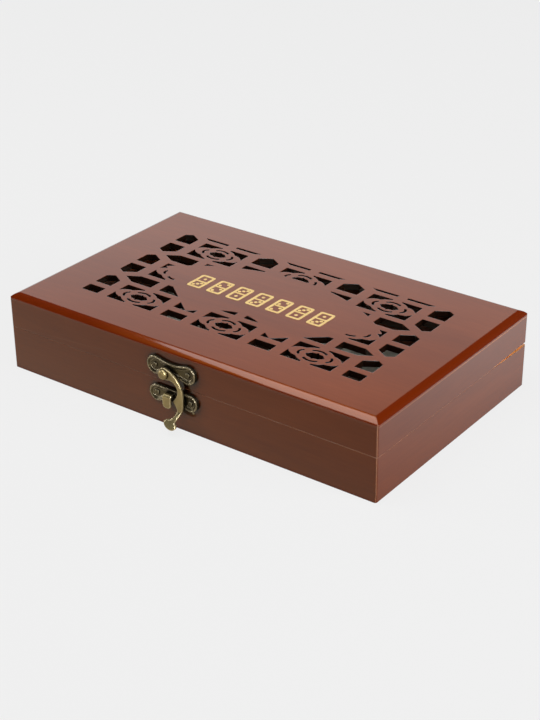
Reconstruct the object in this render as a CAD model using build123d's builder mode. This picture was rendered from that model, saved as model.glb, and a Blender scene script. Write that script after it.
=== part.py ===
from build123d import *
import os

# Domino storage box: a shallow lacquered case with a fretwork lid, two butt hinges
# at the back and a swinging hook latch at the front.  Millimetres.
# Origin: middle of the underside.  +X runs along the length, to the right as seen
# from the latch side, +Y runs towards the hinges and +Z runs up.

# ---------------------------------------------------------------- driving dimensions

# Case
case_length = 190.0
case_width = 116.0
base_height = 20.0
lid_frame_height = 13.0
panel_thickness = 2.9
wall = 7.0
corner_radius = 1.0
seam_gap = 0.1

# Floor and lining
floor_thickness = 3.0
floor_rebate = 3.5
floor_clearance = 0.1
lining_thickness = 1.0
lining_clearance = 0.3
lining_corner = 2.0

# Bevel round the top of the lid panel
bevel_width = 3.2
bevel_drop = 2.55
bevel_bulge = 0.5
bevel_overrun = 1.15

# Relief at the back of the seam, where the hinge leaves lie
relief_run = 21.0

# Fretwork lattice, all seen from above
cell_pitch_x = 46.1
cell_pitch_y = 27.35
lattice_centre_y = -1.65
field_half_x = 72.4
field_front_y = -36.25
field_back_y = 37.6
window_half_x = 12.25
window_half_y = 7.2
tall_half_x = 5.4
tall_half_y = 11.3
tall_shoulder = 8.1
tall_bar = 3.4
long_half_x = 19.1
long_half_y = 3.3
long_shoulder = 13.2
centre_bar = 4.7
smallest_opening = 1.2

# Round tracery inside each window, from its centre
ring_top_y = 6.3
ring_bulge = (4.9, 5.4)
ring_end = (6.8, 3.9)
lobe_bulge = (9.9, 3.15)
lobe_tip_y = 1.0
slit_width = 1.15
slit_end_x = 3.1
slit_end_y = 3.6
slit_middle_y = 4.5
side_slit_end_x = 6.9
side_slit_end_y = 1.8
side_slit_middle_x = 7.8
eye_tip_x = 4.7
eye_shoulder = (2.7, 1.9)
eye_notch = (0.7, 2.1)
eye_cusp_y = 3.0

# Plain medallion in the middle of the lattice
medallion_arc_radius = 85.0
medallion_top_y = 25.1
medallion_tip_x = 57.2
medallion_side = [(54.6, 0.9), (51.6, -3.2), (45.4, -5.2), (45.4, -7.8), (41.4, -11.7)]
medallion_foot = (22.0, -27.2)
medallion_notch_radius = 18.6
medallion_notch_y = -34.3
medallion_notch_angle = 35.0

# Gilt row of domino outlines let into the medallion
inlay_count = 7
inlay_tile = (7.4, 12.4)
inlay_pitch = 10.6
inlay_centre = (-2.5, -0.8)
inlay_stroke = 1.25
inlay_divider = 1.0
inlay_corner = 1.2
inlay_pip_radius = 0.75
inlay_pip_step = (1.4, 1.2)
inlay_depth = 0.4
inlay_proud = 0.1

# Hinges
hinge_inset = 37.0
hinge_length = 20.0
leaf_thickness = 0.45
leaf_clearance = 0.15
leaf_depth = 6.2
knuckle_radius = 1.6
knuckle_clearance = 0.25
knuckle_end_gap = 0.15
lid_knuckle_length = 8.4
hinge_pin_radius = 0.75
hinge_pin_play = 0.05
hinge_pin_head = (1.2, 0.6)
screw_radius = 0.7
screw_head_radius = 1.5
screw_length = 7.0
screw_spacing = 12.0
screw_inset = 3.2
screw_slot = (0.4, 0.3)

# Latch, seen from the front: x to the right, z up
latch_plate_thickness = 1.5
latch_rim_crest = 0.55
latch_rim_slope = 1.1
latch_rim_height = 0.7
latch_rim_round = 0.3
nail_radius = 0.5
nail_head_radius = 1.2
nail_head_height = 0.6
nail_head_round = 0.45
nail_length = 5.0

hook_plate_centre = (-3.8, 27.1)
hook_plate_span = 17.0
hook_plate_lobe = 4.05
hook_plate_waist = 5.4
catch_plate_centre = (-3.1, 14.4)
catch_plate_span = 17.4
catch_plate_lobe = 3.7
catch_plate_rise = 1.6

pivot_place = (-6.4, 25.2)
pivot_boss_radius = 2.1
rivet_radius = 1.1
rivet_head_radius = 2.3
rivet_head_height = 1.5
rivet_head_round = 1.2
rivet_bore_play = 0.05
hook_play = 0.08

# Hook: one bent strip, cut to this outline
hook_thickness = 1.1
hook_stand_off = 1.8
hook_hub_radius = 2.7
hook_outer_radius = 11.85
hook_lean = 76.0
hook_outer_end_angle = -5.0
hook_outer_shank = [(2.95, 11.9), (2.25, 9.4), (1.6, 7.7), (0.8, 5.7)]
hook_throat_angle = -80.0
hook_throat = [(-2.9, 22.9), (-1.0, 22.0), (0.2, 20.4), (0.45, 18.6), (-0.2, 16.5), (-2.15, 13.7)]
hook_shank = [(-2.15, 13.7), (-0.9, 12.2), (-0.1, 10.6), (-0.1, 8.6), (-1.0, 7.4), (-2.2, 6.2)]
hook_bow = [(2.35, 9.8), (4.75, 7.2), (8.1, 1.45)]
hook_bow_radius = 2.0
hook_edge_round = 0.3

# Finger tab at the foot of the hook
tab_centre = (-1.2, 4.8)
tab_radii = (3.2, 1.7)
tab_tilt = -13.0

tongue_centre_x = -4.5
tongue_width = 4.2
tongue_thickness = 0.9
tongue_reach = 4.1
tongue_top_z = 16.4
tongue_tip_z = 10.4
tongue_bend_radius = 0.9
tongue_tip_round = 1.7
tongue_edge_round = 0.2

# ------------------------------------------------------------------- derived places

lid_bottom = base_height + seam_gap
panel_bottom = lid_bottom + lid_frame_height
panel_top = panel_bottom + panel_thickness
inner_length = case_length - 2 * wall
inner_width = case_width - 2 * wall
relief = leaf_thickness + leaf_clearance
base_seat_z = base_height - relief
lid_seat_z = lid_bottom + relief
case_back = case_width / 2
back_wall_inside = case_back - wall
hinge_axis_y = case_back + knuckle_clearance + knuckle_radius
hinge_axis_z = base_height + seam_gap / 2
hinge_reach = case_length / 2 - hinge_inset
hinge_places = {"left": -hinge_reach, "right": hinge_reach}
screw_y = case_back - screw_inset
front = Plane.XZ.offset(case_width / 2)
plate_floor = latch_plate_thickness - latch_rim_height
hook_front = hook_stand_off + hook_thickness
case_front = -case_width / 2

overcut = 1.0


def save(part, label):
    """Label one finished piece and write its own file."""
    part.label = label
    export_step(part, f"parts/{label}.step")


# ------------------------------------------------------------------------ case walls


def wall_corners(side):
    """Mitred outline of one wall board, as points on the ground plane."""
    out_x, out_y = case_length / 2, case_width / 2
    in_x, in_y = out_x - wall, out_y - wall
    outlines = {
        "front": [(-out_x, -out_y), (out_x, -out_y), (in_x, -in_y), (-in_x, -in_y)],
        "back": [(-out_x, out_y), (out_x, out_y), (in_x, in_y), (-in_x, in_y)],
        "left": [(-out_x, -out_y), (-out_x, out_y), (-in_x, in_y), (-in_x, -in_y)],
        "right": [(out_x, -out_y), (out_x, out_y), (in_x, in_y), (in_x, -in_y)],
    }
    return outlines[side]


def wall_board(side, low, high):
    """One upright mitred board with the case's rounded outer corners."""
    with BuildPart() as board:
        with BuildSketch(Plane.XY.offset(low)):
            with BuildLine():
                Polyline(*wall_corners(side), close=True)
            make_face()
            RectangleRounded(case_length, case_width, corner_radius, mode=Mode.INTERSECT)
        extrude(amount=high - low)
    return board.part


def relief_outline(edge_z, seat_z):
    """Side view of the wood planed away behind the seam, sloping to a flat seat."""
    beyond = edge_z + (overcut if edge_z > seat_z else -overcut)
    return [
        (back_wall_inside - relief_run, edge_z),
        (back_wall_inside, seat_z),
        (case_back + overcut, seat_z),
        (case_back + overcut, beyond),
        (back_wall_inside - relief_run, beyond),
    ]


def base_wall(side):
    with BuildPart() as board:
        add(wall_board(side, 0, base_height))
        # rebate that the floor is let into
        with BuildSketch(Plane.XY):
            Rectangle(inner_length + 2 * floor_rebate, inner_width + 2 * floor_rebate)
        extrude(amount=floor_thickness, mode=Mode.SUBTRACT)
        with BuildSketch(Plane.YZ):
            with BuildLine():
                Polyline(*relief_outline(base_height, base_seat_z), close=True)
            make_face()
        extrude(amount=case_length, both=True, mode=Mode.SUBTRACT)
        if side == "back":
            with Locations(*screw_locations(base_seat_z)):
                Cylinder(screw_radius, 2 * screw_length, mode=Mode.SUBTRACT)
        if side == "front":
            with BuildSketch(front):
                with Locations(*nail_places(catch_plate_centre, catch_plate_span)):
                    Circle(nail_radius)
            extrude(amount=-nail_length, mode=Mode.SUBTRACT)
    return board.part


def lid_wall(side):
    with BuildPart() as board:
        add(wall_board(side, lid_bottom, panel_bottom))
        with BuildSketch(Plane.YZ):
            with BuildLine():
                Polyline(*relief_outline(lid_bottom, lid_seat_z), close=True)
            make_face()
        extrude(amount=case_length, both=True, mode=Mode.SUBTRACT)
        if side == "back":
            with Locations(*screw_locations(lid_seat_z)):
                Cylinder(screw_radius, 2 * screw_length, mode=Mode.SUBTRACT)
        if side == "front":
            with BuildSketch(front):
                with Locations(*nail_places(hook_plate_centre, hook_plate_span)):
                    Circle(nail_radius)
            extrude(amount=-nail_length, mode=Mode.SUBTRACT)
    return board.part


def screw_locations(seat_z):
    """Centres of the hinge screws that enter one back wall."""
    return [
        (centre + offset, screw_y, seat_z)
        for centre in hinge_places.values()
        for offset in (-screw_spacing / 2, screw_spacing / 2)
    ]


def nail_places(centre, span):
    """Nail eyes of a latch plate, one in the middle of each lobe."""
    return [(centre[0] - span / 2, centre[1]), (centre[0] + span / 2, centre[1])]


for wall_side in ("front", "back", "left", "right"):
    save(base_wall(wall_side), f"base_{wall_side}_wall")
    save(lid_wall(wall_side), f"lid_{wall_side}_wall")

# ------------------------------------------------------------------ floor and lining

with BuildPart() as base_floor_panel:
    with BuildSketch(Plane.XY):
        Rectangle(
            inner_length + 2 * (floor_rebate - floor_clearance),
            inner_width + 2 * (floor_rebate - floor_clearance),
        )
    extrude(amount=floor_thickness)
save(base_floor_panel.part, "base_floor_panel")

with BuildPart() as base_lining:
    with BuildSketch(Plane.XY.offset(floor_thickness)):
        RectangleRounded(
            inner_length - 2 * lining_clearance,
            inner_width - 2 * lining_clearance,
            lining_corner,
        )
    extrude(amount=lining_thickness)
save(base_lining.part, "base_lining")

# -------------------------------------------------------------------- fretwork panel


def rosette_openings():
    """Openings between one window frame and its round tracery."""
    with BuildSketch() as rosette:
        # four corner openings, outside the ring and the side lobes
        with BuildLine():
            Polyline(
                (centre_bar / 2, ring_top_y),
                (centre_bar / 2, window_half_y),
                (window_half_x, window_half_y),
                (window_half_x, lobe_tip_y),
            )
            ThreePointArc((window_half_x, lobe_tip_y), lobe_bulge, ring_end)
            ThreePointArc(ring_end, ring_bulge, (centre_bar / 2, ring_top_y))
        make_face()
        mirror(about=Plane.XZ)
        mirror(about=Plane.YZ)
        # curved slits above, below and at each side of the eye
        with BuildLine(mode=Mode.PRIVATE) as top_slit:
            ThreePointArc(
                (-slit_end_x, slit_end_y), (0, slit_middle_y), (slit_end_x, slit_end_y)
            )
        with BuildLine(mode=Mode.PRIVATE) as side_slit:
            ThreePointArc(
                (side_slit_end_x, -side_slit_end_y),
                (side_slit_middle_x, 0),
                (side_slit_end_x, side_slit_end_y),
            )
        for slit in (top_slit, side_slit):
            for turn in (0, 180):
                SlotArc(slit.edges()[0], slit_width, rotation=turn)
        # pointed eye in the middle
        with BuildLine():
            half_eye = Polyline(
                (-eye_tip_x, 0),
                (-eye_shoulder[0], eye_shoulder[1]),
                (-eye_notch[0], eye_notch[1]),
                (0, eye_cusp_y),
                eye_notch,
                eye_shoulder,
                (eye_tip_x, 0),
            )
            mirror(half_eye, about=Plane.XZ)
        make_face()
    return rosette.sketch


def split_hexagon(half_x, half_y, shoulder, bar, along):
    """A long hexagon with a bar across its middle."""
    if along == "y":
        points = [(0, half_y), (half_x, shoulder), (half_x, -shoulder)]
        bar_size = (2 * half_x, bar)
    else:
        points = [(half_x, 0), (shoulder, half_y), (-shoulder, half_y)]
        bar_size = (bar, 2 * half_y)
    opposite = [(-x, -y) for x, y in points]
    with BuildSketch() as hexagon:
        with BuildLine():
            Polyline(*points, *opposite, close=True)
        make_face()
        Rectangle(*bar_size, mode=Mode.SUBTRACT)
    return hexagon.sketch


def medallion_face():
    """Plain shield in the middle: arched above, with a round notch below."""
    arc_centre_y = medallion_top_y - medallion_arc_radius
    tip_y = arc_centre_y + (medallion_arc_radius**2 - medallion_tip_x**2) ** 0.5
    tangent = Vector(0, medallion_notch_radius).rotate(Axis.Z, -medallion_notch_angle)
    notch_end = (tangent.X, medallion_notch_y + tangent.Y)
    notch_top = (0, medallion_notch_y + medallion_notch_radius)
    right_side = [(medallion_tip_x, tip_y), *medallion_side, medallion_foot, notch_end]
    left_side = [(-x, y) for x, y in reversed(right_side)]
    with BuildSketch() as medallion:
        with BuildLine():
            ThreePointArc(
                (-medallion_tip_x, tip_y), (0, medallion_top_y), (medallion_tip_x, tip_y)
            )
            Polyline(*right_side)
            ThreePointArc(notch_end, notch_top, left_side[0])
            Polyline(*left_side)
        make_face()
    return medallion.sketch


def beyond_bevel(half_size):
    """Side view of the wood taken off outside the rounded bevel."""
    high = (half_size - bevel_width, panel_top)
    slope = Vector(-bevel_width, bevel_drop) * bevel_overrun
    low = Vector(high) - slope
    outward = Vector(slope.Y, -slope.X).normalized() * bevel_bulge
    middle = (low + Vector(high)) / 2 + outward
    with BuildSketch() as waste:
        with BuildLine():
            ThreePointArc(low, middle, high)
            Polyline(
                high,
                (high[0], panel_top + overcut),
                (half_size + overcut, panel_top + overcut),
                (half_size + overcut, low.Y),
                low,
            )
        make_face()
    return waste.sketch


with BuildSketch() as lattice_openings:
    with Locations((0, lattice_centre_y)):
        with GridLocations(cell_pitch_x, cell_pitch_y, 3, 3):
            add(rosette_openings())
        with GridLocations(cell_pitch_x, cell_pitch_y, 4, 3):
            add(split_hexagon(tall_half_x, tall_half_y, tall_shoulder, tall_bar, "y"))
        with GridLocations(cell_pitch_x, cell_pitch_y, 3, 4):
            add(split_hexagon(long_half_x, long_half_y, long_shoulder, centre_bar, "x"))
    with Locations((0, (field_front_y + field_back_y) / 2)):
        Rectangle(2 * field_half_x, field_back_y - field_front_y, mode=Mode.INTERSECT)
    add(medallion_face(), mode=Mode.SUBTRACT)

whole_openings = [
    opening for opening in lattice_openings.faces() if opening.area > smallest_opening
]

# ---------------------------------------------------------------------- gilt inlay


def pips(count):
    """One to three pips on the diagonal of half a tile."""
    steps = {1: (0,), 2: (-1, 1), 3: (-1, 0, 1)}[count]
    return [(step * inlay_pip_step[0], step * inlay_pip_step[1]) for step in steps]


def domino_outline(upper, lower):
    """A thin upright tile outline with its divider and pips."""
    half_height = (inlay_tile[1] - inlay_stroke) / 4
    with BuildSketch() as tile:
        RectangleRounded(*inlay_tile, inlay_corner)
        RectangleRounded(
            inlay_tile[0] - 2 * inlay_stroke,
            inlay_tile[1] - 2 * inlay_stroke,
            inlay_corner - inlay_stroke / 2,
            mode=Mode.SUBTRACT,
        )
        Rectangle(inlay_tile[0] - inlay_stroke, inlay_divider)
        with Locations((0, half_height)):
            with Locations(*pips(upper)):
                Circle(inlay_pip_radius)
        with Locations((0, -half_height)):
            with Locations(*pips(lower)):
                Circle(inlay_pip_radius)
    return tile.sketch


with BuildSketch() as inlay_row:
    for place in range(inlay_count):
        tile_x = inlay_centre[0] + (place - (inlay_count - 1) / 2) * inlay_pitch
        with Locations((tile_x, inlay_centre[1])):
            add(domino_outline(1 + place % 3, 3 - place % 3))

with BuildPart() as lid_inlay:
    with BuildSketch(Plane.XY.offset(panel_top - inlay_depth)):
        add(inlay_row.sketch)
    extrude(amount=inlay_depth + inlay_proud)
save(lid_inlay.part, "lid_inlay")

with BuildPart() as lid_fretwork_panel:
    with BuildSketch(Plane.XY.offset(panel_bottom)):
        RectangleRounded(case_length, case_width, corner_radius)
    extrude(amount=panel_thickness)
    for side_view, half_size in (
        (Plane.YZ, case_width / 2),
        (Plane.XZ, case_length / 2),
    ):
        with BuildSketch(side_view):
            add(beyond_bevel(half_size))
            mirror(about=Plane.YZ)
        extrude(amount=case_length, both=True, mode=Mode.SUBTRACT)
    with BuildSketch(Plane.XY.offset(panel_top)):
        add(whole_openings)
    extrude(amount=-panel_thickness, mode=Mode.SUBTRACT)
    with BuildSketch(Plane.XY.offset(panel_top)):
        add(inlay_row.sketch)
    extrude(amount=-inlay_depth, mode=Mode.SUBTRACT)
save(lid_fretwork_panel.part, "lid_fretwork_panel")

# --------------------------------------------------------------------------- hinges


def knuckle_spans(centre, owner):
    """Start and length of each barrel piece along X, for one leaf of a hinge."""
    lid_start = centre - lid_knuckle_length / 2
    if owner == "lid":
        return [(lid_start, lid_knuckle_length)]
    left_edge = centre - hinge_length / 2
    base_length = (hinge_length - lid_knuckle_length) / 2 - knuckle_end_gap
    right_start = centre + hinge_length / 2 - base_length
    return [(left_edge, base_length), (right_start, base_length)]


def hinge_leaf(centre, owner):
    """A flat leaf on its seat, with its barrel pieces behind the case."""
    low = base_seat_z if owner == "base" else lid_seat_z - leaf_thickness
    with BuildPart() as leaf:
        with BuildSketch(Plane.XY.offset(low)):
            with Locations((centre, case_back - leaf_depth / 2)):
                Rectangle(hinge_length, leaf_depth)
            for start, length in knuckle_spans(centre, owner):
                with Locations((start + length / 2, case_back)):
                    Rectangle(
                        length,
                        hinge_axis_y - case_back,
                        align=(Align.CENTER, Align.MIN),
                    )
        extrude(amount=leaf_thickness)
        for start, length in knuckle_spans(centre, owner):
            with BuildSketch(Plane.YZ.offset(start)):
                with Locations((hinge_axis_y, hinge_axis_z)):
                    Circle(knuckle_radius)
            extrude(amount=length)
        with BuildSketch(Plane.YZ.offset(centre)):
            with Locations((hinge_axis_y, hinge_axis_z)):
                Circle(hinge_pin_radius + hinge_pin_play)
        extrude(amount=hinge_length, both=True, mode=Mode.SUBTRACT)
        # countersunk screw holes, wide at the side that faces the other leaf
        wide, narrow = screw_head_radius, screw_radius
        bottom, top = (narrow, wide) if owner == "base" else (wide, narrow)
        screw_xs = (centre - screw_spacing / 2, centre + screw_spacing / 2)
        with Locations(*[(x, screw_y, low) for x in screw_xs]):
            Cone(
                bottom,
                top,
                leaf_thickness,
                align=(Align.CENTER, Align.CENTER, Align.MIN),
                mode=Mode.SUBTRACT,
            )
    return leaf.part


def hinge_pin(centre):
    """A headed pin through the three barrel pieces."""
    head_radius, head_length = hinge_pin_head
    left_edge = centre - hinge_length / 2
    with BuildPart() as pin:
        with BuildSketch(Plane.YZ.offset(left_edge)):
            with Locations((hinge_axis_y, hinge_axis_z)):
                Circle(hinge_pin_radius)
        extrude(amount=hinge_length)
        with BuildSketch(Plane.YZ.offset(left_edge)):
            with Locations((hinge_axis_y, hinge_axis_z)):
                Circle(head_radius)
        extrude(amount=-head_length)
        head_face = pin.faces().sort_by(Axis.X)[0]
        fillet(head_face.edges(), head_length / 2)
    return pin.part


def hinge_screws(owner):
    """All countersunk screws of one side, driven away from the seam."""
    sign = -1 if owner == "base" else 1
    face_z = base_seat_z if owner == "base" else lid_seat_z
    head_plane_z = face_z - sign * leaf_thickness
    slot_width, slot_depth = screw_slot
    with BuildPart() as screws:
        for x, y, _ in screw_locations(face_z):
            with BuildSketch(Plane.XZ.offset(-y)):
                with BuildLine():
                    Polyline(
                        (x, head_plane_z),
                        (x + screw_head_radius, head_plane_z),
                        (x + screw_radius, face_z),
                        (x + screw_radius, face_z + sign * (screw_length - screw_radius)),
                        (x, face_z + sign * screw_length),
                        close=True,
                    )
                make_face()
            revolve(axis=Axis((x, y, 0), (0, 0, 1)))
        for x, y, _ in screw_locations(face_z):
            with Locations((x, y, head_plane_z)):
                Box(
                    2 * screw_head_radius,
                    slot_width,
                    2 * slot_depth,
                    mode=Mode.SUBTRACT,
                )
    return screws.part


for hinge_name, hinge_centre in hinge_places.items():
    save(hinge_leaf(hinge_centre, "base"), f"{hinge_name}_hinge_base_leaf")
    save(hinge_leaf(hinge_centre, "lid"), f"{hinge_name}_hinge_lid_leaf")
    save(hinge_pin(hinge_centre), f"{hinge_name}_hinge_pin")
save(hinge_screws("base"), "hinge_screws_base")
save(hinge_screws("lid"), "hinge_screws_lid")

# ---------------------------------------------------------------------------- latch


def waist_touch(span, lobe, waist):
    """Where the hollow arc of a waist meets the left lobe, from that lobe's centre."""
    if waist == lobe:
        return 0.0, lobe
    hollow_radius = ((span / 2) ** 2 + waist**2 - lobe**2) / (2 * (lobe - waist))
    touch = Vector(span / 2, waist + hollow_radius).normalized() * lobe
    return touch.X, touch.Y


def two_lobes(centre, span, lobe, waist_top, waist_bottom):
    """Smooth outline of a latch plate: two round lobes joined by a waist."""
    middle_x, middle_z = centre
    left, right = middle_x - span / 2, middle_x + span / 2
    top_x, top_z = waist_touch(span, lobe, waist_top)
    bottom_x, bottom_z = waist_touch(span, lobe, waist_bottom)
    top_left, top_right = (left + top_x, middle_z + top_z), (right - top_x, middle_z + top_z)
    low_left, low_right = (left + bottom_x, middle_z - bottom_z), (right - bottom_x, middle_z - bottom_z)
    with BuildSketch() as outline:
        with BuildLine():
            if waist_top < lobe:
                ThreePointArc(top_left, (middle_x, middle_z + waist_top), top_right)
            else:
                Line(top_left, top_right)
            ThreePointArc(top_right, (right + lobe, middle_z), low_right)
            ThreePointArc(low_right, (middle_x, middle_z - waist_bottom), low_left)
            ThreePointArc(low_left, (left - lobe, middle_z), top_left)
        make_face()
    return outline.sketch


def rimmed_plate(outline, eyes):
    """A stamped plate: a rounded rim that slopes inwards to a sunk field."""
    with BuildPart() as plate:
        with BuildSketch(front):
            add(outline)
        extrude(amount=latch_plate_thickness)
        crown = plate.faces().sort_by(Axis.Y)[0]
        fillet(crown.edges(), latch_rim_round)
        with BuildSketch(front.offset(plate_floor)):
            add(outline)
            offset(amount=-(latch_rim_crest + latch_rim_slope))
        extrude(amount=latch_rim_height, mode=Mode.SUBTRACT)
        crest = plate.faces().sort_by(Axis.Y)[0]
        pocket_edges = crest.inner_wires()[0].edges()
        chamfer(pocket_edges, latch_rim_slope, latch_rim_height - 0.05, reference=crest)
        with BuildSketch(front):
            with Locations(*eyes):
                Circle(nail_radius)
        extrude(amount=latch_plate_thickness, mode=Mode.SUBTRACT)
    return plate.part


def plate_nails(centre, span):
    """Round-headed nails through the two eyes of a latch plate."""
    with BuildPart() as nails:
        with BuildSketch(front.offset(plate_floor)):
            with Locations(*nail_places(centre, span)):
                Circle(nail_head_radius)
        extrude(amount=nail_head_height)
        crowns = nails.faces().filter_by(Plane.XZ).group_by(Axis.Y)[0]
        fillet(crowns.edges(), nail_head_round)
        with BuildSketch(front.offset(plate_floor)):
            with Locations(*nail_places(centre, span)):
                Circle(nail_radius)
        extrude(amount=-(plate_floor + nail_length))
    return nails.part


hook_plate_outline = two_lobes(
    hook_plate_centre,
    hook_plate_span,
    hook_plate_lobe,
    hook_plate_waist / 2,
    hook_plate_waist / 2,
)

with BuildPart() as latch_hook_plate:
    add(
        rimmed_plate(
            hook_plate_outline,
            nail_places(hook_plate_centre, hook_plate_span),
        )
    )
    # boss that the hook turns against
    with BuildSketch(front):
        with Locations(pivot_place):
            Circle(pivot_boss_radius)
    extrude(amount=hook_stand_off - hook_play)
    with BuildSketch(front):
        with Locations(pivot_place):
            Circle(rivet_radius)
    extrude(amount=hook_stand_off, mode=Mode.SUBTRACT)
save(latch_hook_plate.part, "latch_hook_plate")

with BuildPart() as latch_pivot_rivet:
    with BuildSketch(front):
        with Locations(pivot_place):
            Circle(rivet_radius)
    extrude(amount=hook_front + hook_play)
    with BuildSketch(front.offset(hook_front + hook_play)):
        with Locations(pivot_place):
            Circle(rivet_head_radius)
    extrude(amount=rivet_head_height)
    rivet_crown = latch_pivot_rivet.faces().sort_by(Axis.Y)[0]
    fillet(rivet_crown.edges(), rivet_head_round)
save(latch_pivot_rivet.part, "latch_pivot_rivet")

hook_outer_reach = Vector(hook_outer_radius - hook_hub_radius, 0)
hook_arc_centre = Vector(pivot_place) - hook_outer_reach.rotate(Axis.Z, hook_lean)
hook_nose_slope = Vector(hook_throat[-1]) - Vector(hook_throat[-2])
hook_foot_slope = Vector(hook_outer_shank[-1]) - Vector(hook_outer_shank[-2])

with BuildPart() as latch_hook:
    # the strip in side view: flat at the top, bowed outwards towards the foot
    with BuildSketch(Plane.YZ):
        with BuildLine():
            FilletPolyline(
                (case_front - hook_bow[0][0], pivot_place[1] + 2 * hook_hub_radius),
                *[(case_front - stand_off, z) for stand_off, z in hook_bow],
                radius=hook_bow_radius,
            )
        trace(line_width=hook_thickness)
    extrude(amount=hook_outer_radius, both=True)
    with BuildSketch(front):
        with BuildLine():
            outer_arc = CenterArc(
                hook_arc_centre,
                hook_outer_radius,
                hook_outer_end_angle,
                hook_lean - hook_outer_end_angle,
            )
            hub_arc = CenterArc(
                pivot_place,
                hook_hub_radius,
                hook_lean,
                360 + hook_throat_angle - hook_lean,
            )
            Spline(hub_arc @ 1, *hook_throat, tangents=(hub_arc % 1, hook_nose_slope))
            Spline(*hook_shank)
            Line(hook_shank[-1], hook_outer_shank[-1])
            Spline(outer_arc @ 0, *hook_outer_shank, tangents=(outer_arc % 0 * -1, hook_foot_slope))
        make_face()
        with Locations(tab_centre):
            Ellipse(*tab_radii, rotation=tab_tilt)
    extrude(amount=hook_outer_radius, mode=Mode.INTERSECT)
    front_faces = latch_hook.faces().filter_by(lambda face: face.normal_at().Y < -0.3)
    fillet(front_faces.edges().filter_by(GeomType.LINE, reverse=True), hook_edge_round)
    with BuildSketch(front):
        with Locations(pivot_place):
            Circle(rivet_radius + rivet_bore_play)
    extrude(amount=hook_outer_radius, mode=Mode.SUBTRACT)
save(latch_hook.part, "latch_hook")

catch_plate_outline = two_lobes(
    catch_plate_centre,
    catch_plate_span,
    catch_plate_lobe,
    catch_plate_lobe,
    catch_plate_lobe - catch_plate_rise,
)

with BuildPart() as latch_catch_plate:
    add(
        rimmed_plate(
            catch_plate_outline,
            nail_places(catch_plate_centre, catch_plate_span),
        )
    )
    # tongue bent out of the plate and turned down over the hook
    with BuildSketch(Plane.YZ.offset(tongue_centre_x)):
        with BuildLine() as tongue_path:
            FilletPolyline(
                (case_front, tongue_top_z - tongue_thickness / 2),
                (
                    case_front - tongue_reach + tongue_thickness / 2,
                    tongue_top_z - tongue_thickness / 2,
                ),
                (case_front - tongue_reach + tongue_thickness / 2, tongue_tip_z),
                radius=tongue_bend_radius,
            )
        trace(line_width=tongue_thickness)
    extrude(amount=tongue_width / 2, both=True)
    tip_corners = latch_catch_plate.edges().filter_by(Axis.Y)
    tip_corners = tip_corners.filter_by(
        lambda edge: abs(edge.center().Z - tongue_tip_z) < tongue_thickness / 2
        and edge.center().Y < case_front - latch_plate_thickness
    )
    fillet(tip_corners, tongue_tip_round)
    tongue_face = latch_catch_plate.faces().filter_by(Plane.XZ).sort_by(Axis.Y)[0]
    fillet(tongue_face.edges().sort_by(Axis.Z)[:-1], tongue_edge_round)
save(latch_catch_plate.part, "latch_catch_plate")

save(plate_nails(hook_plate_centre, hook_plate_span), "latch_nails_lid")
save(plate_nails(catch_plate_centre, catch_plate_span), "latch_nails_base")
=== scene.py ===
import math

import bmesh
import bpy
from mathutils import Matrix, Vector


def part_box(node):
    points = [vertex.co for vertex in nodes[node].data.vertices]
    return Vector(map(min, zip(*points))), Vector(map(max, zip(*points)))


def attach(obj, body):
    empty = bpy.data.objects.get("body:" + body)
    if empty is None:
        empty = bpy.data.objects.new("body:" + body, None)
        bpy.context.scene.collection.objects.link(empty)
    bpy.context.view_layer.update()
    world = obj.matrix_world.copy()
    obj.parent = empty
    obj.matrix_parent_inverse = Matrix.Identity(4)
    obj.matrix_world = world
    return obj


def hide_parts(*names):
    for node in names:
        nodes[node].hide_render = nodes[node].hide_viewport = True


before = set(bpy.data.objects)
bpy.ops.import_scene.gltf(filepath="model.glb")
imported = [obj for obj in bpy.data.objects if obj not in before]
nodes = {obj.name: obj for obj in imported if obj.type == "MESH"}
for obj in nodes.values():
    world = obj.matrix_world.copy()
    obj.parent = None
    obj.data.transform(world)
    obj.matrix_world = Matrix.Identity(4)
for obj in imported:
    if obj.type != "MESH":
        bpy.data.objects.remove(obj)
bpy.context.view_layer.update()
scene = bpy.context.scene
scene.view_settings.view_transform = "Standard"

# ------------------------------------------------------------------ named values (m)

# Camera, as fitted to the photograph
CAMERA_AZIMUTH = math.radians(36.67)
CAMERA_ELEVATION = math.radians(27.97)
CAMERA_ROLL = math.radians(-0.47)
CAMERA_DISTANCE = 0.7077
CAMERA_TARGET = Vector((-0.0069, 0.0122, 0.0))
SENSOR_WIDTH = 36.0
FOCAL_PIXELS = 1589.3
FRAME_PIXELS = 720

# Case
HALF_LENGTH = 0.095
HALF_WIDTH = 0.058
SEAM = 0.02005
PANEL_JOINT = 0.0330
PANEL_TOP = 0.036
BEVEL_WIDTH = 0.0032
BEVEL_FOOT = PANEL_TOP - 0.0025
FIELD_HALF = (0.0735, 0.0385)
PLANED_FROM = 0.030
PLANED_HEIGHTS = (0.0190, 0.0210)
PLATE_FACE = -HALF_WIDTH - 0.0020

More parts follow.
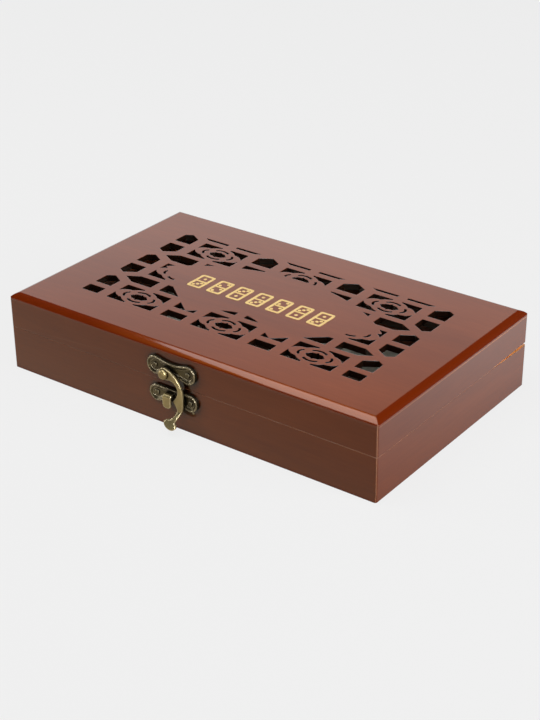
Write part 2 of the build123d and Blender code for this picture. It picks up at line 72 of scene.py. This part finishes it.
# Lacquered wood
LACQUER = [(0.140, 0.023, 0.0027), (0.172, 0.031, 0.0035), (0.206, 0.039, 0.0046)]
PANEL_LACQUER = [(0.160, 0.027, 0.0029), (0.197, 0.035, 0.0038), (0.236, 0.044, 0.0050)]
GRAIN_PLACES = (0.32, 0.50, 0.68)
FINE_GRAIN = (6.0, 90.0)
WIDE_GRAIN = (2.5, 14.0)
GRAIN_SHARES = (0.35, 0.65)
BEVEL_RED = (0.155, 0.018, 0.0018)
# Painted highlight: a lighter red band across the middle tilts of the front bevel's
# right half
BEVEL_PAINTED_HIGHLIGHT = (0.34, 0.075, 0.010)
HIGHLIGHT_TILTS = (0.69, 0.94)
CHARRED = (0.016, 0.0065, 0.0035)
# Bare planed wood, its colour raised to a bright orange that stands in for light in the
# seam's gap
BARE_WOOD_PAINTED_LIT = (0.92, 0.44, 0.12)
# Painted shade: the front face darkened towards near-black beside the latch, where
# ambient occlusion finds taller pieces close by
PAINTED_SHADE = (0.012, 0.003, 0.001)
PAINTED_SHADE_REACH = 0.006
PAINTED_SHADE_SHELTER = (0.70, 0.98)
PAINTED_SHADE_HEIGHTS = (0.005, 0.009)
FACE_DEPTH = 0.0005

# Worn edges and joints of the wood, the right end's joint line and the near corner
# partly painted highlight: colours, widths, and how much is worn off
WORN_EDGE = (0.62, 0.26, 0.13)
EDGE_RADIUS = 0.0003
EDGE_FACING = (0.99, 0.82)
ARRIS = 0.0004
# Orange line along the right end at the panel joint, stronger towards the back: partly
# worn wood, partly painted highlight
ARRIS_WEAR_AND_HIGHLIGHT = (0.50, 0.16, 0.045)
# The near vertical corner is painted lighter along its height: partly worn lacquer,
# partly painted highlight
NEAR_CORNER_WEAR_AND_HIGHLIGHT = 0.6
SEAM_WEAR = 0.5
SEAM_WEAR_FROM = 0.03
SEAM_LINE = (0.00025, 0.0001)
JOINT_LINE = (0.0003, 0.0001)
JOINT_UNWORN = (0.0004, 0.0008)
JOINT_WEAR_AND_HIGHLIGHT = (0.3, 1.0)
JOINT_WEAR_AND_HIGHLIGHT_PLACES = (-HALF_WIDTH, 0.02)

# Brass, from the darkest cloud to the lightest
BRASS = [(0.30, 0.235, 0.110), (0.44, 0.36, 0.17), (0.58, 0.48, 0.24)]
BRASS_PLACES = (0.30, 0.50, 0.70)
BRASS_WORN = (1.0, 0.88, 0.64)
BRASS_HOLLOW = (0.028, 0.021, 0.011)
BRASS_EDGE = 0.0006
BRASS_FACING = (0.99, 0.91)
HOLLOW_REACH = 0.0025
HOLLOW_SHELTER = (0.50, 0.92)
PLATE_TONE = 0.2
PLATE_RUBBED_DEPTH = 0.0004

# Gilt, felt and floor board: a darker and a lighter shade of each
GILT = [(0.3, (0.93, 0.62, 0.22)), (0.7, (1.0, 0.74, 0.31))]
FELT = [(0.3, (0.60, 0.64, 0.54)), (0.7, (0.74, 0.77, 0.66))]
FELT_GAPS = (0.36, 0.39, 0.31)
BOARD = [(0.3, (0.24, 0.115, 0.06)), (0.7, (0.34, 0.175, 0.095))]

# Lining
LINING_THICKNESS = 0.001
FELT_STEP = 0.002
FELT_WAVE = 0.00012
FELT_RIPPLES = ((310, 95), (-60, 270))
FELT_EDGE_SHARE = 0.55
FELT_RISE_SHARE = 0.33

# Floor, and the sweep that the lacquer mirrors in it
FLOOR_RADIUS = 30.0
FLOOR_COLOUR = (0.35, 0.35, 0.35, 1.0)
FLOOR_LIGHT = 0.957
FLOOR_GLOW = 0.85
SWEEP_LEAN = -0.3
SWEEP_PLACES = (-0.115, 0.035)
SWEEP_LEVELS = (0.5, 1.3)
SWEEP_FAR = 1.8
SWEEP_TINT = (1.0, 0.87, 0.68)
# Painted shadow: the floor's mirrored glow dimmed beside the case's right end
END_PAINTED_SHADOW = 0.65
END_REACH = 0.030
END_TINT = (0.98, 1.0, 1.0)
CORNER_REACH = 0.02
FAR_PLACES = (0.06, 0.10)

# Sky: what the camera sees, what lights the object, and what it mirrors
BACKGROUND = 0.863
AMBIENT = 0.09
SKY_LOW, SKY_HIGH = math.sin(math.radians(23.5)), math.sin(math.radians(35))
SKY_HORIZON = 1.4
SKY_TOP = 0.05
SKY_FRONT = 0.1
SKY_FRONT_PLACES = (-0.35, 0.15)
SKY_RIGHT = 0.05
SKY_RIGHT_PLACES = (-0.15, 0.3)

# Points that the lamps face
CASE_MIDDLE = (0.0, 0.0, 0.02)
LATCH = (0.0, -HALF_WIDTH, 0.02)

# ---------------------------------------------------------------------- node helpers


def new_material(name):
    """A new node material, its tree and its shader."""
    material = bpy.data.materials.new(name)
    material.use_nodes = True
    tree = material.node_tree
    return material, tree, tree.nodes["Principled BSDF"]


def add_node(tree, kind, **settings):
    """A new node; settings are values of its sockets or else its own settings."""
    node = tree.nodes.new(kind)
    for key, value in settings.items():
        if key in node.inputs:
            node.inputs[key].default_value = value
        else:
            setattr(node, key, value)
    return node


def feed(tree, socket, value):
    """Set a socket to a number or colour, or link it."""
    if isinstance(value, (int, float)):
        socket.default_value = value
    elif isinstance(value, tuple):
        socket.default_value = (*value, 1.0)
    else:
        tree.links.new(value, socket)


def ramp(tree, value, stops):
    """A colour ramp on value; stops are (place, colour)."""
    node = tree.nodes.new("ShaderNodeValToRGB")
    elements = node.color_ramp.elements
    while len(elements) < len(stops):
        elements.new(0.5)
    for element, (place, colour) in zip(elements, stops):
        element.position = place
        element.color = (*colour, 1.0)
    tree.links.new(value, node.inputs["Fac"])
    return node.outputs["Color"]


def map_range(tree, value, low, high, out_low=0.0, out_high=1.0):
    """Value taken from low..high to out_low..out_high, and held beyond."""
    node = tree.nodes.new("ShaderNodeMapRange")
    node.inputs["From Min"].default_value = low
    node.inputs["From Max"].default_value = high
    node.inputs["To Min"].default_value = out_low
    node.inputs["To Max"].default_value = out_high
    tree.links.new(value, node.inputs["Value"])
    return node.outputs["Result"]


def fade(tree, value, middle, half):
    """0 below middle and 1 above it, with a soft step; the other way if half < 0."""
    return map_range(tree, value, middle - half, middle + half)


def math_node(tree, operation, *values):
    node = tree.nodes.new("ShaderNodeMath")
    node.operation = operation
    for place, value in enumerate(values):
        feed(tree, node.inputs[place], value)
    return node.outputs[0]


def product(tree, first, *others):
    for other in others:
        first = math_node(tree, "MULTIPLY", first, other)
    return first


def distance_from(tree, value, place):
    return math_node(tree, "ABSOLUTE", math_node(tree, "SUBTRACT", value, place))


def mix_colour(tree, factor, first, second):
    node = tree.nodes.new("ShaderNodeMix")
    node.data_type = "RGBA"
    node.blend_type = "MIX"
    feed(tree, node.inputs["Factor"], factor)
    feed(tree, node.inputs[6], first)
    feed(tree, node.inputs[7], second)
    return node.outputs[2]


def mix_number(tree, factor, first, second):
    node = tree.nodes.new("ShaderNodeMix")
    node.data_type = "FLOAT"
    feed(tree, node.inputs[0], factor)
    feed(tree, node.inputs[2], first)
    feed(tree, node.inputs[3], second)
    return node.outputs[0]


def object_coordinates(tree, scale=(1.0, 1.0, 1.0)):
    """Coordinates fixed to the piece, stretched by scale."""
    coordinates = tree.nodes.new("ShaderNodeTexCoord")
    mapping = tree.nodes.new("ShaderNodeMapping")
    mapping.inputs["Scale"].default_value = scale
    tree.links.new(coordinates.outputs["Object"], mapping.inputs["Vector"])
    return mapping.outputs["Vector"]


def noise(tree, vector, scale, detail=4.0, roughness=0.5, distortion=0.0):
    node = add_node(
        tree,
        "ShaderNodeTexNoise",
        Scale=scale,
        Detail=detail,
        Roughness=roughness,
        Distortion=distortion,
    )
    tree.links.new(vector, node.inputs["Vector"])
    return node.outputs["Fac"]


def bump(tree, shader, height, distance, strength, normal=None):
    """Fine relief on the shader, over that normal if one is given."""
    node = add_node(tree, "ShaderNodeBump", Strength=strength, Distance=distance)
    tree.links.new(height, node.inputs["Height"])
    if normal is not None:
        tree.links.new(normal, node.inputs["Normal"])
    tree.links.new(node.outputs["Normal"], shader.inputs["Normal"])


def worn_edge(tree, radius, sharp, soft):
    """1 along outward edges, 0 on flats; also the softened normal."""
    geometry = tree.nodes.new("ShaderNodeNewGeometry")
    rounded = add_node(tree, "ShaderNodeBevel", samples=6, Radius=radius)
    facing = add_node(tree, "ShaderNodeVectorMath", operation="DOT_PRODUCT")
    tree.links.new(geometry.outputs["Normal"], facing.inputs[0])
    tree.links.new(rounded.outputs["Normal"], facing.inputs[1])
    worn = map_range(tree, facing.outputs["Value"], sharp, soft)
    return worn, rounded.outputs["Normal"]


def shelter(tree, distance, closed, clear):
    """0 in corners and beside taller pieces, 1 in the open."""
    node = add_node(tree, "ShaderNodeAmbientOcclusion", samples=6, Distance=distance)
    return map_range(tree, node.outputs["AO"], closed, clear)


def local_place(tree):
    """x, y, z and the upward share of the normal, all fixed to the piece."""
    coordinates = tree.nodes.new("ShaderNodeTexCoord")
    place = tree.nodes.new("ShaderNodeSeparateXYZ")
    tree.links.new(coordinates.outputs["Object"], place.inputs[0])
    normal = tree.nodes.new("ShaderNodeSeparateXYZ")
    tree.links.new(coordinates.outputs["Normal"], normal.inputs[0])
    x, y, z = (place.outputs[axis] for axis in "XYZ")
    return x, y, z, math_node(tree, "ABSOLUTE", normal.outputs["Z"])


def dress(obj, material):
    """Give every material slot of a piece this material."""
    if not obj.data.materials:
        obj.data.materials.append(material)
    for slot in obj.material_slots:
        slot.material = material


# --------------------------------------------------------------------- wood material


def grain(tree, grain_axis):
    """Fine and wide grain that runs along that axis."""

    def stretched(scales):
        along, across = scales
        scale = tuple(along if axis == grain_axis else across for axis in "xyz")
        return object_coordinates(tree, scale)

    fine = noise(tree, stretched(FINE_GRAIN), 9.0, 8.0, 0.65, 0.4)
    wide = noise(tree, stretched(WIDE_GRAIN), 2.2, 3.0, 0.5, 0.8)
    return fine, wide


def panel_finish(tree, colour, wear, place):
    """The panel's red bevel, with a painted highlight on the front bevel's right half,
    and charred cuts.
    """
    x, y, z, upward = place
    across_x = math_node(tree, "ABSOLUTE", x)
    across_y = math_node(tree, "ABSOLUTE", y)
    beyond_x = math_node(tree, "SUBTRACT", across_x, HALF_LENGTH - BEVEL_WIDTH)
    beyond_y = math_node(tree, "SUBTRACT", across_y, HALF_WIDTH - BEVEL_WIDTH)
    beyond = math_node(tree, "MAXIMUM", beyond_x, beyond_y)
    bevel = fade(tree, beyond, 0.0, 0.0001)
    bevel = product(tree, bevel, fade(tree, z, BEVEL_FOOT, 0.0002))
    # Painted highlight on the front bevel's right half, where its tilt is middling
    painted_highlight = product(
        tree,
        math_node(tree, "LESS_THAN", y, -HALF_WIDTH + BEVEL_WIDTH),
        fade(tree, upward, HIGHLIGHT_TILTS[0], 0.03),
        fade(tree, upward, HIGHLIGHT_TILTS[1], -0.03),
        math_node(tree, "GREATER_THAN", beyond_y, beyond_x),
        fade(tree, x, 0.0, 0.05),
    )
    bevel_colour = mix_colour(tree, painted_highlight, BEVEL_RED, BEVEL_PAINTED_HIGHLIGHT)
    colour = mix_colour(tree, bevel, colour, bevel_colour)
    inside_x = math_node(tree, "LESS_THAN", across_x, FIELD_HALF[0])
    inside_y = math_node(tree, "LESS_THAN", across_y, FIELD_HALF[1])
    inside = product(tree, inside_x, inside_y)
    cut = product(tree, inside, fade(tree, upward, 0.5, -0.1))
    colour = mix_colour(tree, cut, colour, CHARRED)
    return colour, product(tree, wear, math_node(tree, "SUBTRACT", 1.0, inside))


def planed_strip(tree, colour, place):
    """Bare planed wood on the level faces of the seam, towards the hinges, painted
    bright as if lit inside the gap.
    """
    _, y, z, upward = place
    planed = product(
        tree,
        fade(tree, y, PLANED_FROM, 0.0005),
        fade(tree, upward, 0.5, 0.1),
        math_node(tree, "GREATER_THAN", z, PLANED_HEIGHTS[0]),
        math_node(tree, "LESS_THAN", z, PLANED_HEIGHTS[1]),
    )
    return mix_colour(tree, planed, colour, BARE_WOOD_PAINTED_LIT)


def painted_shade_and_wear(tree, colour, wear, place):
    """Painted shade on the front face round the latch; lacquer worn off along joints
    and edges, with the right end's joint line and the near corner partly painted
    highlight.
    """
    x, y, z, _ = place
    # Painted shade: the front face above the floor darkened beside the latch plates, by
    # ambient occlusion
    front = math_node(tree, "LESS_THAN", y, -HALF_WIDTH + FACE_DEPTH)
    raised = product(tree, front, map_range(tree, z, *PAINTED_SHADE_HEIGHTS))
    clear = shelter(tree, PAINTED_SHADE_REACH, *PAINTED_SHADE_SHELTER)
    painted_shade_share = math_node(tree, "SUBTRACT", 1.0, clear)
    colour = mix_colour(tree, product(tree, raised, painted_shade_share), colour, PAINTED_SHADE)
    from_joint = distance_from(tree, z, PANEL_JOINT)
    wear = product(tree, wear, map_range(tree, from_joint, *JOINT_UNWORN))
    # Right end's joint line: partly worn wood, partly painted highlight, stronger
    # towards the back
    end = math_node(tree, "GREATER_THAN", x, HALF_LENGTH - ARRIS)
    end_wear_and_highlight = product(
        tree,
        end,
        map_range(tree, from_joint, *JOINT_LINE),
        map_range(tree, y, *JOINT_WEAR_AND_HIGHLIGHT_PLACES, *JOINT_WEAR_AND_HIGHLIGHT),
    )
    colour = mix_colour(tree, end_wear_and_highlight, colour, ARRIS_WEAR_AND_HIGHLIGHT)
    # Near vertical corner painted lighter: partly wear, partly painted highlight
    near_corner = math_node(tree, "LESS_THAN", y, -HALF_WIDTH + ARRIS)
    near_corner = product(tree, near_corner, end, NEAR_CORNER_WEAR_AND_HIGHLIGHT)
    wear = math_node(tree, "MAXIMUM", wear, near_corner)
    seam_line = product(
        tree,
        front,
        map_range(tree, distance_from(tree, z, SEAM), *SEAM_LINE),
        map_range(tree, x, SEAM_WEAR_FROM, HALF_LENGTH, 0.0, SEAM_WEAR),
    )
    wear = math_node(tree, "MAXIMUM", wear, seam_line)
    return mix_colour(tree, wear, colour, WORN_EDGE)


def lacquered_wood(name, grain_axis, panel=False):
    """Reddish brown wood with fine long grain under a clear gloss."""
    material, tree, shader = new_material(name)
    fine, wide = grain(tree, grain_axis)
    parts = [product(tree, *pair) for pair in zip((fine, wide), GRAIN_SHARES)]
    blend = math_node(tree, "ADD", *parts)
    shades = PANEL_LACQUER if panel else LACQUER
    colour = ramp(tree, blend, list(zip(GRAIN_PLACES, shades)))
    place = local_place(tree)
    worn, rounded = worn_edge(tree, EDGE_RADIUS, *EDGE_FACING)
    wear = product(tree, worn, map_range(tree, wide, 0.3, 0.6, 0.25, 0.75))
    if panel:
        colour, wear = panel_finish(tree, colour, wear, place)
    else:
        colour = planed_strip(tree, colour, place)
    colour = painted_shade_and_wear(tree, colour, wear, place)
    roughness = map_range(tree, fine, 0.3, 0.7, 0.42, 0.55)
    tree.links.new(colour, shader.inputs["Base Color"])
    tree.links.new(roughness, shader.inputs["Roughness"])
    shader.inputs["Specular IOR Level"].default_value = 0.0
    shader.inputs["Coat Weight"].default_value = 1.0
    shader.inputs["Coat Roughness"].default_value = 0.06
    shader.inputs["Coat IOR"].default_value = 1.52
    bump(tree, shader, fine, 0.00002, 0.2, normal=rounded)
    tree.links.new(rounded, shader.inputs["Coat Normal"])
    return material


# -------------------------------------------------------------------- other materials


def aged_brass(name, tone=1.0, proud=None):
    """Antiqued brass: black in the corners, olive on flats, rubbed bright along edges.

    What stands out in front of proud is rubbed lighter than tone.
    """
    material, tree, shader = new_material(name)
    cloud = noise(tree, object_coordinates(tree), 90.0, detail=3.0)
    worn, rounded = worn_edge(tree, BRASS_EDGE, *BRASS_FACING)
    clear = shelter(tree, HOLLOW_REACH, *HOLLOW_SHELTER)
    wear = product(tree, worn, clear, clear)
    toned = (tuple(part * tone for part in shade) for shade in BRASS)
    patina = ramp(tree, cloud, list(zip(BRASS_PLACES, toned)))
    if proud is not None:
        rubbed = ramp(tree, cloud, list(zip(BRASS_PLACES, BRASS)))
        _, y, _, _ = local_place(tree)
        standing = map_range(tree, y, proud, proud - PLATE_RUBBED_DEPTH)
        patina = mix_colour(tree, standing, patina, rubbed)
    patina = mix_colour(tree, clear, BRASS_HOLLOW, patina)
    colour = mix_colour(tree, wear, patina, BRASS_WORN)
    metallic = map_range(tree, wear, 0.0, 1.0, 0.65, 0.9)
    roughness = map_range(tree, cloud, 0.3, 0.7, 0.20, 0.30)
    tree.links.new(colour, shader.inputs["Base Color"])
    tree.links.new(metallic, shader.inputs["Metallic"])
    tree.links.new(roughness, shader.inputs["Roughness"])
    tree.links.new(rounded, shader.inputs["Normal"])
    return material


def gilt(name):
    """Bright gold inlay with a slightly brushed face."""
    material, tree, shader = new_material(name)
    streaks = noise(tree, object_coordinates(tree, (40.0, 400.0, 40.0)), 12.0)
    colour = ramp(tree, streaks, GILT)
    roughness = map_range(tree, streaks, 0.3, 0.7, 0.38, 0.5)
    tree.links.new(colour, shader.inputs["Base Color"])
    shader.inputs["Metallic"].default_value = 0.2
    tree.links.new(roughness, shader.inputs["Roughness"])
    bump(tree, shader, streaks, 0.00002, 0.3)
    return material


def felt(name):
    """Pale grey-green felt with matted fibres."""
    material, tree, shader = new_material(name)
    fibres = noise(tree, object_coordinates(tree), 900.0, 8.0, 0.75, 1.5)
    mottle = noise(tree, object_coordinates(tree), 60.0, detail=3.0)
    colour = ramp(tree, mottle, FELT)
    gaps = map_range(tree, fibres, 0.35, 0.6, 0.25, 0.0)
    shaded = mix_colour(tree, gaps, colour, FELT_GAPS)
    tree.links.new(shaded, shader.inputs["Base Color"])
    shader.inputs["Roughness"].default_value = 0.95
    shader.inputs["Specular IOR Level"].default_value = 0.1
    shader.inputs["Sheen Weight"].default_value = 0.4
    shader.inputs["Sheen Roughness"].default_value = 0.5
    bump(tree, shader, fibres, 0.0002, 0.6)
    return material


def plain_board(name):
    """Thin satin board of the case's floor."""
    material, tree, shader = new_material(name)
    streaks = noise(tree, object_coordinates(tree, (5.0, 70.0, 70.0)), 8.0, 6.0, 0.6)
    colour = ramp(tree, streaks, BOARD)
    roughness = map_range(tree, streaks, 0.3, 0.7, 0.5, 0.65)
    tree.links.new(colour, shader.inputs["Base Color"])
    tree.links.new(roughness, shader.inputs["Roughness"])
    bump(tree, shader, streaks, 0.00004, 0.4)
    return material


wood_x = lacquered_wood("lacquered_wood_long", "x")
wood_y = lacquered_wood("lacquered_wood_short", "y")
wood_panel = lacquered_wood("lacquered_wood_panel", "x", panel=True)
brass = aged_brass("antique_brass")
plate_brass = aged_brass("antique_brass_plate", tone=PLATE_TONE, proud=PLATE_FACE)
nail_brass = aged_brass("antique_brass_nail", tone=PLATE_TONE)
gold = gilt("gilt_inlay")
felt_material = felt("pale_felt")
board = plain_board("floor_board")

for name, node in nodes.items():
    if name == "lid_fretwork_panel":
        dress(node, wood_panel)
    elif name.endswith(("front_wall", "back_wall")):
        dress(node, wood_x)
    elif name.endswith(("left_wall", "right_wall")):
        dress(node, wood_y)
    elif name == "base_floor_panel":
        dress(node, board)
    elif name == "lid_inlay":
        dress(node, gold)
    elif name == "base_lining":
        dress(node, felt_material)
    elif name in ("latch_hook_plate", "latch_catch_plate"):
        dress(node, plate_brass)
    elif name.startswith("latch_nails"):
        dress(node, nail_brass)
    else:
        dress(node, brass)

# ---------------------------------------------------------------------------- lining


def felt_sheet():
    """A thin felt sheet with soft edges, laid on the floor of the case."""
    low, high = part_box("base_lining")
    length, width = high.x - low.x, high.y - low.y
    columns = round(length / FELT_STEP)
    rows = round(width / FELT_STEP)
    mesh = bmesh.new()
    top, bottom = [], []
    for row in range(rows + 1):
        for column in range(columns + 1):
            x = low.x + column / columns * length
            y = low.y + row / rows * width
            from_edge = min(x - low.x, high.x - x, y - low.y, high.y - y)
            edge = min(1.0, from_edge / FELT_STEP)
            ripple = sum(math.sin(x * a + y * b) for a, b in FELT_RIPPLES)
            share = FELT_EDGE_SHARE + FELT_RISE_SHARE * edge
            z = low.z + LINING_THICKNESS * share + FELT_WAVE * ripple / 2 * edge
            top.append(mesh.verts.new((x, y, z)))
            bottom.append(mesh.verts.new((x, y, low.z)))
    step = columns + 1
    for row in range(rows):
        for column in range(columns):
            a = row * step + column
            b, c, d = a + 1, a + step + 1, a + step
            mesh.faces.new((top[a], top[b], top[c], top[d]))
            mesh.faces.new((bottom[d], bottom[c], bottom[b], bottom[a]))
    rim = list(range(step))
    rim += [row * step + columns for row in range(1, rows + 1)]
    rim += [rows * step + column for column in range(columns - 1, -1, -1)]
    rim += [row * step for row in range(rows - 1, 0, -1)]
    for first, second in zip(rim, rim[1:] + rim[:1]):
        mesh.faces.new((bottom[first], bottom[second], top[second], top[first]))
    data = bpy.data.meshes.new("lining_felt")
    mesh.to_mesh(data)
    mesh.free()
    data.shade_smooth()
    sheet = bpy.data.objects.new("lining_felt", data)
    scene.collection.objects.link(sheet)
    dress(sheet, felt_material)
    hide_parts("base_lining")
    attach(sheet, "base")


felt_sheet()

# ---------------------------------------------------------------- floor and backdrop


def mirrored_sweep(tree, x, y):
    """Brightness and tint that the lacquer mirrors in the floor, by place on it, with a
    painted shadow beside the case's right end.
    """
    along = math_node(tree, "ADD", y, product(tree, x, SWEEP_LEAN))
    sweep = map_range(tree, along, *SWEEP_PLACES, *SWEEP_LEVELS)
    off_end = math_node(tree, "SUBTRACT", x, HALF_LENGTH)
    off_front = math_node(tree, "SUBTRACT", -HALF_WIDTH, y)
    # Painted shadow: the mirrored floor dimmed beside the right end, but not in front
    # of the case
    painted_shadow_beside_end = map_range(tree, off_end, 0.0, END_REACH, END_PAINTED_SHADOW, 1.0)
    before = fade(tree, off_front, 0.0, 0.002)
    sweep = product(tree, sweep, math_node(tree, "MAXIMUM", painted_shadow_beside_end, before))
    nearer = math_node(tree, "MINIMUM", off_end, off_front)
    farther = math_node(tree, "MAXIMUM", off_end, off_front)
    corner = map_range(tree, nearer, 0.0, CORNER_REACH)
    away = map_range(tree, farther, *FAR_PLACES)
    off_corner = math_node(tree, "MAXIMUM", corner, away)
    sweep = mix_number(tree, off_corner, sweep, SWEEP_FAR)
    return sweep, mix_colour(tree, before, END_TINT, SWEEP_TINT)


def stage_material():
    """Pale floor that keeps the object's shadow and shows the plain background.

    In the lacquer it is mirrored as a sweep that grows brighter toward the back.
    """
    material = bpy.data.materials.new("pale_floor")
    material.use_nodes = True
    tree = material.node_tree
    tree.nodes.clear()
    output = tree.nodes.new("ShaderNodeOutputMaterial")
    matte = tree.nodes.new("ShaderNodeBsdfDiffuse")
    matte.inputs["Color"].default_value = FLOOR_COLOUR
    path = tree.nodes.new("ShaderNodeLightPath")
    camera_ray = path.outputs["Is Camera Ray"]
    x, y, _, _ = local_place(tree)
    sweep, tint = mirrored_sweep(tree, x, y)
    glow = tree.nodes.new("ShaderNodeEmission")
    tint = mix_colour(tree, camera_ray, tint, (1.0, 1.0, 1.0))
    tree.links.new(tint, glow.inputs["Color"])
    strength = mix_number(tree, camera_ray, sweep, FLOOR_LIGHT)
    tree.links.new(strength, glow.inputs["Strength"])
    seen = math_node(tree, "MAXIMUM", camera_ray, path.outputs["Is Glossy Ray"])
    seen = math_node(tree, "MAXIMUM", seen, path.outputs["Is Transmission Ray"])
    mix = tree.nodes.new("ShaderNodeMixShader")
    tree.links.new(product(tree, seen, FLOOR_GLOW), mix.inputs[0])
    tree.links.new(matte.outputs[0], mix.inputs[1])
    tree.links.new(glow.outputs[0], mix.inputs[2])
    tree.links.new(mix.outputs[0], output.inputs["Surface"])
    return material


floor_mesh = bmesh.new()
bmesh.ops.create_circle(floor_mesh, cap_ends=True, segments=96, radius=FLOOR_RADIUS)
floor_data = bpy.data.meshes.new("studio_floor")
floor_mesh.to_mesh(floor_data)
floor_mesh.free()
floor = bpy.data.objects.new("studio_floor", floor_data)
scene.collection.objects.link(floor)
dress(floor, stage_material())

# --------------------------------------------------------------------- sky and lamps

world = bpy.data.worlds.new("studio")
scene.world = world
world.use_nodes = True
sky = world.node_tree
sky.nodes.clear()
sky_output = sky.nodes.new("ShaderNodeOutputWorld")
direction = sky.nodes.new("ShaderNodeTexCoord")
split = sky.nodes.new("ShaderNodeSeparateXYZ")
sky.links.new(direction.outputs["Generated"], split.inputs[0])
mirrored = product(
    sky,
    map_range(sky, split.outputs["Z"], SKY_LOW, SKY_HIGH, SKY_HORIZON, SKY_TOP),
    map_range(sky, split.outputs["Y"], *SKY_FRONT_PLACES, SKY_FRONT, 1.0),
    map_range(sky, split.outputs["X"], *SKY_RIGHT_PLACES, 1.0, SKY_RIGHT),
)
sky_path = sky.nodes.new("ShaderNodeLightPath")
sky_rays = [sky_path.outputs[f"Is {kind} Ray"] for kind in ("Glossy", "Transmission")]
level = mix_number(sky, math_node(sky, "MAXIMUM", *sky_rays), AMBIENT, mirrored)
level = mix_number(sky, sky_path.outputs["Is Camera Ray"], level, BACKGROUND)
background = sky.nodes.new("ShaderNodeBackground")
sky.links.new(level, background.inputs["Strength"])
sky.links.new(background.outputs[0], sky_output.inputs["Surface"])


def softbox(name, place, facing, size, watts, sheen_only=False):
    """A rectangular lamp at that place, turned towards facing, or down if None."""
    lamp = bpy.data.lights.new(name, "AREA")
    lamp.shape = "RECTANGLE"
    lamp.size, lamp.size_y = size
    lamp.energy = watts
    light = bpy.data.objects.new(name, lamp)
    light.location = place
    if facing is not None:
        aim = Vector(facing) - Vector(place)
        light.rotation_euler = aim.to_track_quat("-Z", "Y").to_euler()
    light.visible_diffuse = not sheen_only
    scene.collection.objects.link(light)


softbox("overhead_box", (-0.25, -0.45, 1.33), None, (1.40, 1.20), 16.0)
softbox("left_box", (-0.85, -0.45, 0.30), CASE_MIDDLE, (0.35, 0.35), 2.2)
softbox("right_box", (0.83, 0.09, 0.35), CASE_MIDDLE, (0.5, 0.5), 5.8)
softbox("latch_sheen", (0.62, -0.74, 0.56), LATCH, (0.7, 0.7), 15.0, sheen_only=True)

# ---------------------------------------------------------------------------- camera

back = Vector(
    (
        math.sin(CAMERA_AZIMUTH) * math.cos(CAMERA_ELEVATION),
        -math.cos(CAMERA_AZIMUTH) * math.cos(CAMERA_ELEVATION),
        math.sin(CAMERA_ELEVATION),
    )
)
level_right = Vector((math.cos(CAMERA_AZIMUTH), math.sin(CAMERA_AZIMUTH), 0.0))
level_up = back.cross(level_right)
right = level_right * math.cos(CAMERA_ROLL) + level_up * math.sin(CAMERA_ROLL)
up = back.cross(right)
camera_data = bpy.data.cameras.new("camera")
camera_data.sensor_width = SENSOR_WIDTH
camera_data.lens = FOCAL_PIXELS * SENSOR_WIDTH / FRAME_PIXELS
camera = bpy.data.objects.new("camera", camera_data)
camera_place = Matrix.Translation(CAMERA_TARGET + back * CAMERA_DISTANCE)
camera.matrix_world = camera_place @ Matrix((right, up, back)).transposed().to_4x4()
scene.collection.objects.link(camera)
scene.camera = camera
